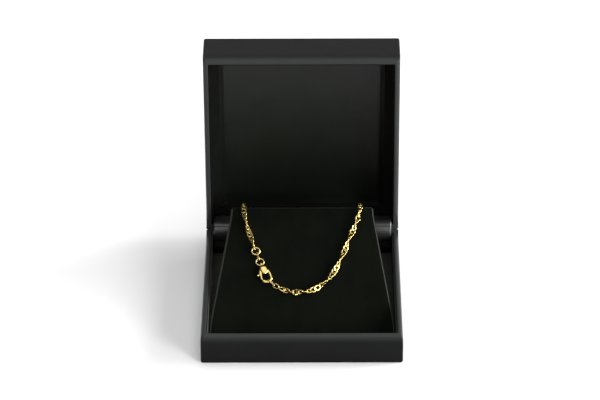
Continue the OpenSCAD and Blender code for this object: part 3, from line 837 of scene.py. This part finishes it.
def chain():
    """All the links, each in the place of one ring of the frame's chain, in two pieces as there."""
    left, right = ring_middles("chain_left"), ring_middles("chain_right")
    both = np.concatenate([left, right])
    order = in_order(both, node_middle("jump_ring"))
    middles = both[order]
    is_left = [k < len(left) for k in order]
    ahead, sides = chain_frames(middles)
    angles = chain_angles(middles, ahead, sides, CAMERA_AT)
    bends = [(CROSSING - s) / (2 * CROSSING_AT) for s in np.diff(angles)]
    outline = link_outline()
    parts = {True: [], False: []}
    for i, middle in enumerate(middles):
        side, other = sides[i], np.cross(ahead[i], sides[i])
        normal = side * math.cos(angles[i]) + other * math.sin(angles[i])
        before = bends[i - 1] if i > 0 else 0.0
        after = bends[i] if i < len(bends) else 0.0
        parts[is_left[i]].append(link_shape(outline, middle, ahead[i], normal, before, after))
    for flag, name in ((True, "chain_left"), (False, "chain_right")):
        verts, faces = join(*parts[flag])
        make(f"{name}_links", verts, faces, CHAIN_GOLD, "box", [name])


# The clasp

CLASP_AT = (-16.4, 41.4)  # on the pad: to the right, and down from the fold
CLASP_H = 1.5             # its middle above the velvet
CLASP_TURN = math.radians(10.8)
# In the clasp's own frame, X is across it and Y runs from the hook to the eye
HOOK_CENTRE = np.array([0.15, -1.1])
HOOK_R = 2.175
HOOK_T = 0.7              # half the thickness of the hook's round part is at most this
PIVOT = np.array([-1.2, 4.1])
EYE = np.array([-0.75, 7.0])
EYE_R = 0.92              # to the middle of its wire
EYE_WIRE = 0.19           # half the wire's thickness
EYE_HALF = 0.55           # and half its width, across the clasp
# The hook from its nose round to the arm, as an angle about its centre and half its width
HOOK_ROUND = [(207, 0.42), (210, 0.58), (216, 0.68), (228, 0.78), (243, 0.80), (258, 0.74), (275, 0.66),
              (292, 0.58), (311, 0.55), (330, 0.56), (350, 0.58)]
# Rows of x, y, half width and half thickness
ARM = [[2.3, -0.2, 0.6, 0.58], [2.16, 0.9, 0.62, 0.6], [1.92, 1.9, 0.66, 0.64], [1.6, 2.8, 0.72, 0.72],
       [1.25, 3.5, 0.8, 0.85], [0.8, 4.2, 0.8, 0.9], [0.4, 4.8, 0.6, 0.8]]
HEAD = [[-0.95, 1.7, 0.5, 0.8], [-0.9, 1.76, 0.85, 0.92], [-0.7, 2.02, 1.25, 1.02], [-0.44, 2.46, 1.62, 1.1],
        [-0.24, 3.0, 1.88, 1.14], [-0.16, 3.6, 2.02, 1.18], [-0.22, 4.3, 2.06, 1.2], [-0.32, 5.0, 1.88, 1.18],
        [-0.46, 5.5, 1.56, 1.1], [-0.6, 6.0, 1.2, 0.96], [-0.7, 6.38, 0.9, 0.78], [-0.78, 6.6, 0.5, 0.5]]
LEVER_BAR = [[-1.12, 4.95, 0.3, 0.3], [-1.15, 4.8, 0.62, 0.46], [-1.25, 4.1, 0.98, 0.5],
             [-1.56, 3.3, 1.0, 0.5], [-1.88, 2.5, 0.92, 0.52], [-2.02, 1.6, 0.82, 0.54],
             [-2.06, 0.6, 0.7, 0.56], [-2.06, -0.5, 0.58, 0.54], [-2.04, -1.3, 0.52, 0.48],
             [-2.03, -1.58, 0.42, 0.4], [-2.03, -1.68, 0.25, 0.25]]
LEVER_TAB = [[-1.7, 2.2, 0.4, 0.4], [-2.2, 1.75, 0.46, 0.44], [-2.7, 1.42, 0.38, 0.38],
             [-3.2, 1.2, 0.38, 0.38], [-3.6, 1.08, 0.42, 0.4], [-3.82, 1.02, 0.28, 0.28]]
SLOT_R = 1.12             # the slot about the pivot
SLOT_HALF = 0.62          # half its width, through the clasp's thickness
SLOT_CORNERS = [(-4.2, 4.1), (-4.2, 1.1), (-0.08, 1.1)]
RIVET = [(0.30, 0.7), (0.30, 1.09), (0.26, 1.16), (0.16, 1.2)]  # radius and height from the clasp's middle
RIVET_SIDES = 24


def pad_point(u, down, h):
    """A point on the pad: u to the right, down from the fold, h above the velvet."""
    return np.array([u, FOLD_Y, FOLD_Z]) + PAD_NORMAL * (PAD_T + h) - PAD_UP * down


def clasp_place(points):
    """Moves points from the clasp's own frame onto the pad."""
    p = np.array(points, float)
    c, d = math.cos(CLASP_TURN), math.sin(CLASP_TURN)
    x, y = p[:, :1] * c - p[:, 1:2] * d, p[:, :1] * d + p[:, 1:2] * c
    middle = pad_point(CLASP_AT[0], CLASP_AT[1], CLASP_H)
    return middle + x * np.array([1.0, 0, 0]) + y * PAD_UP + p[:, 2:] * PAD_NORMAL


def smooth_line(points, count):
    """A smooth curve through rows of numbers, at even shares of its length."""
    p = np.array(points, float)
    q = np.concatenate([[2 * p[0] - p[1]], p, [2 * p[-1] - p[-2]]])
    out = []
    for i in range(len(p) - 1):
        a, b, c, d = q[i:i + 4]
        for t in np.linspace(0, 1, 16, endpoint=False):
            bent = (2 * a - 5 * b + 4 * c - d) * t ** 2
            out.append(0.5 * (2 * b + (c - a) * t + bent + (3 * b - a - 3 * c + d) * t ** 3))
    out.append(p[-1])
    out = np.array(out)
    run = np.concatenate([[0], np.cumsum(np.linalg.norm(np.diff(out[:, :2], axis=0), axis=1))])
    at = np.linspace(0, run[-1], count)
    return np.stack([np.interp(at, run, out[:, k]) for k in range(out.shape[1])], axis=1)


def cast_bar(rows, count, sides=24, power=2.3):
    """A cast shape of count rings along a flat line, through rows of x, y, half width and half thickness.
    A power of 2 makes its section oval, more makes it squarer."""
    line = smooth_line(rows, count)
    ahead = np.gradient(line[:, :2], axis=0)
    ahead /= np.linalg.norm(ahead, axis=1)[:, None]
    angles = np.arange(sides) * 2 * math.pi / sides
    c, d = np.cos(angles), np.sin(angles)
    wide = np.sign(c) * np.abs(c) ** (2 / power)
    thick = np.sign(d) * np.abs(d) ** (2 / power)
    rings = []
    for k in range(len(line)):
        side = np.array([ahead[k, 1], -ahead[k, 0]])
        flat = line[k, :2] + wide[:, None] * line[k, 2] * side
        rings.append(np.column_stack([flat, thick * line[k, 3]]))
    return loft(rings)


def fuse(piece, size, rounds):
    """Melts overlapping parts of a piece into one skin of cells of a size in millimetres, and smooths it."""
    remesh = piece.modifiers.new("fuse", "REMESH")
    remesh.mode = "VOXEL"
    remesh.voxel_size = size * MM
    apply_modifier(piece, remesh)
    soften = piece.modifiers.new("soften", "SMOOTH")
    soften.factor = 0.5
    soften.iterations = rounds
    apply_modifier(piece, soften)
    piece.data.polygons.foreach_set("use_smooth", [True] * len(piece.data.polygons))


def clasp_body():
    """Hook, arm and domed head in one casting, slotted for the lever, with an eye for its ring."""
    hook = []
    for angle, half in HOOK_ROUND:
        a = math.radians(angle)
        x, y = HOOK_CENTRE[0] + HOOK_R * math.cos(a), HOOK_CENTRE[1] + HOOK_R * math.sin(a)
        hook.append([x, y, half, min(half, HOOK_T)])
    angles = np.linspace(0, 2 * math.pi, 40)[:-1]
    ring = [np.array([EYE[0], EYE[1] + EYE_R * math.cos(a), EYE_R * math.sin(a)]) for a in angles]
    eye, eye_faces = wire_loop(ring, EYE_WIRE, [1.0, 0, 0])
    eye[:, 0] = EYE[0] + (eye[:, 0] - EYE[0]) * EYE_HALF / EYE_WIRE
    verts, faces = join(cast_bar(hook + ARM, 90), cast_bar(HEAD, 50, 40, 2.7), (eye, eye_faces))
    piece = make("clasp_casting", clasp_place(verts), faces, CLASP_GOLD, "box", ["clasp_body"])
    fuse(piece, size=0.065, rounds=5)
    # The slot for the lever, open to the hook's inside and to the left
    arc = np.radians(np.linspace(0, 180, 25))
    outline = [PIVOT + SLOT_R * np.array([math.cos(a), math.sin(a)]) for a in arc]
    outline += [np.array(corner) for corner in SLOT_CORNERS]
    levels = [np.column_stack([outline, np.full(len(outline), z)]) for z in (-SLOT_HALF, SLOT_HALF)]
    verts, faces = loft(levels)
    carve(piece, clasp_place(verts), faces)


def clasp_pin():
    """The pin's two riveted ends, which stand a little above the head."""
    circle = np.radians(np.arange(RIVET_SIDES) * 360 / RIVET_SIDES)
    ends = []
    for side in (-1, 1):
        rings = []
        for r, z in RIVET:
            x, y = PIVOT[0] + r * np.cos(circle), PIVOT[1] + r * np.sin(circle)
            rings.append(np.column_stack([x, y, np.full(RIVET_SIDES, side * z)]))
        verts, faces = loft(rings)
        ends.append((verts, faces if side > 0 else [face[::-1] for face in faces]))
    verts, faces = join(*ends)
    make("clasp_pin", clasp_place(verts), faces, CLASP_GOLD, "box")


def clasp_lever():
    """The sprung lever: a round boss in the slot, a bar down to the hook's nose and a thumb tab."""
    verts, faces = join(cast_bar(LEVER_BAR, 60), cast_bar(LEVER_TAB, 30))
    piece = make("clasp_thumb_lever", clasp_place(verts), faces, CLASP_GOLD, "lever", ["clasp_lever"])
    fuse(piece, size=0.05, rounds=4)


OVAL_POWER = 0.85  # 1 makes the small links oval, less makes their sides straighter


def oval_link(node, heading, lean, length, width, wire):
    """A polished oval link in a node's place, with its heading on the pad and its lean from lying flat, both
    in degrees, and its length, width and wire in millimetres."""
    h = math.radians(heading)
    ahead = math.cos(h) * np.array([1.0, 0, 0]) + math.sin(h) * PAD_UP
    across = np.cross(PAD_NORMAL, ahead)
    a = math.radians(lean)
    side = across * math.cos(a) + PAD_NORMAL * math.sin(a)
    reach, spread = (length - wire) / 2, (width - wire) / 2
    angles = np.linspace(0, 2 * math.pi, 73)[:-1]
    c, d = np.cos(angles), np.sin(angles)
    x, y = np.sign(c) * np.abs(c) ** OVAL_POWER * reach, np.sign(d) * np.abs(d) ** OVAL_POWER * spread
    path = node_middle(node) + x[:, None] * ahead + y[:, None] * side
    verts, faces = wire_loop(path, wire / 2, np.cross(ahead, side))
    make(f"{node}_wire", verts, faces, CLASP_GOLD, "box", [node])


# The studio

CAMERA_AT = np.array([7.1, -1118.7, 729.3])
CAMERA_YAW, CAMERA_DOWN, CAMERA_ROLL = np.radians([-0.40, 30.98, -0.34])
IMAGE_WIDTH = 600
FOCAL_LENGTH = 2913  # in the photo's pixels
SENSOR_WIDTH = 36
FLOOR_HALF = 6       # in metres
PAPER = 0.88         # the share of light that the floor sends back
# Patches of even light: azimuth from +X, height and width in degrees, and strength
SUNS = [("right_near", 0, 16, 46, 2.6), ("right_front", -45, 15, 26, 3.3), ("right_back", 15, 16, 28, 2.8),
        ("front", -95, 42, 50, 0.85), ("back", 90, 33, 60, 0.4), ("overhead", 95, 82, 56, 1.15)]
WORLD_LIGHT = 0.12


def camera():
    """The photo's view of the box."""
    data = bpy.data.cameras.new("camera")
    data.lens = FOCAL_LENGTH * SENSOR_WIDTH / IMAGE_WIDTH
    data.sensor_width = SENSOR_WIDTH
    data.clip_start, data.clip_end = 0.1, 20  # in metres
    ahead = np.array([math.sin(CAMERA_YAW) * math.cos(CAMERA_DOWN),
                      math.cos(CAMERA_YAW) * math.cos(CAMERA_DOWN), -math.sin(CAMERA_DOWN)])
    right = np.array([math.cos(CAMERA_YAW), -math.sin(CAMERA_YAW), 0])
    up = np.cross(right, ahead)
    c, s = math.cos(CAMERA_ROLL), math.sin(CAMERA_ROLL)
    x, y = right * c + up * s, up * c - right * s
    seat = Matrix([[x[k], y[k], -ahead[k], CAMERA_AT[k] * MM] for k in range(3)] + [[0, 0, 0, 1]])
    holder = bpy.data.objects.new("camera", data)
    holder.matrix_world = seat
    bpy.context.scene.collection.objects.link(holder)
    bpy.context.scene.camera = holder


def soft_sun(name, azimuth, height, spread, strength):
    """A round patch of even light, far away."""
    data = bpy.data.lights.new(name, "SUN")
    data.angle = math.radians(spread)
    data.energy = strength
    lamp = bpy.data.objects.new(name, data)
    a, h = math.radians(azimuth), math.radians(height)
    towards = Vector((math.cos(a) * math.cos(h), math.sin(a) * math.cos(h), math.sin(h)))
    lamp.rotation_euler = towards.to_track_quat("Z", "Y").to_euler()
    bpy.context.scene.collection.objects.link(lamp)


def studio():
    """A sheet of white paper under soft light, mostly from the right."""
    mesh = bpy.data.meshes.new("floor")
    corners = [(x * FLOOR_HALF, y * FLOOR_HALF, 0) for x, y in [(-1, -1), (1, -1), (1, 1), (-1, 1)]]
    mesh.from_pydata(corners, [], [(0, 1, 2, 3)])
    floor = bpy.data.objects.new("floor", mesh)
    bpy.context.scene.collection.objects.link(floor)
    paper, _, _, shader = new_material("paper", (PAPER, PAPER, PAPER), 0.9)
    shader.inputs["Specular IOR Level"].default_value = 0.0
    mesh.materials.append(paper)
    world = bpy.data.worlds.new("studio")
    bpy.context.scene.world = world
    world.use_nodes = True
    background = world.node_tree.nodes["Background"]
    background.inputs["Color"].default_value = (1, 1, 1, 1)
    background.inputs["Strength"].default_value = WORLD_LIGHT
    for sun in SUNS:
        soft_sun(*sun)
    bpy.context.scene.view_settings.view_transform = "Standard"


camera()
studio()
base_case()
spine()
lid_case()
base_tray_lining()
lid_inside()
hinge_leaves()
pad()
chain()
clasp_body()
clasp_pin()
clasp_lever()
oval_link("hook_link", -48.6, -52, 5.0, 2.8, 0.58)
oval_link("end_link", -38, 35, 3.4, 2.4, 0.58)
for node in ("jump_ring", "connecting_link", "clasp_ring"):
    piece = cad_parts[node]
    piece.data.materials.clear()
    piece.data.materials.append(CLASP_GOLD)
